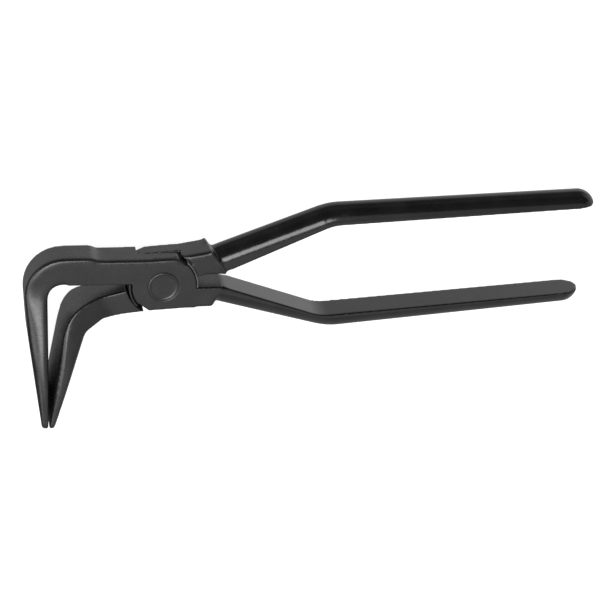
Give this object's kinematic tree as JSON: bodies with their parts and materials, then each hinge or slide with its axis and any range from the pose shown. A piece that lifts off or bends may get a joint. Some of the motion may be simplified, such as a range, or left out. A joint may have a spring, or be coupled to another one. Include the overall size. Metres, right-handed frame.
{
  "type": "roofing pliers",
  "caption": "Hand pliers with wide flared jaws bent down at a right angle, a half-lap pivot on a flush rivet, and long bent half-round handles, for folding sheet metal.",
  "frame": {"origin": "on the pivot axis, at the back face of the head", "axes": "+Z along the pivot axis from the back face to the front face, +X from the jaws to the handles, +Y away from the jaw tips; stored with the jaws closed"},
  "size_m": [0.2794, 0.1136, 0.044],
  "materials": {
    "forged_steel": "blackened forged steel, satin",
    "handle_steel": "blackened steel bar, semi-gloss",
    "rivet_steel": "blackened steel ground flush, satin"
  },
  "bodies": {
    "front_member": {"upper_jaw": "forged_steel", "lower_handle": "handle_steel", "pivot_rivet": "rivet_steel"},
    "back_member": {"lower_jaw": "forged_steel", "upper_handle": "handle_steel"}
  },
  "joints": [
    {"name": "jaw_pivot", "type": "hinge", "parent": "front_member", "child": "back_member", "pos_m": [0, 0, 0], "axis": [0, 0, 1], "range_deg": [0, 28]}
  ]
}
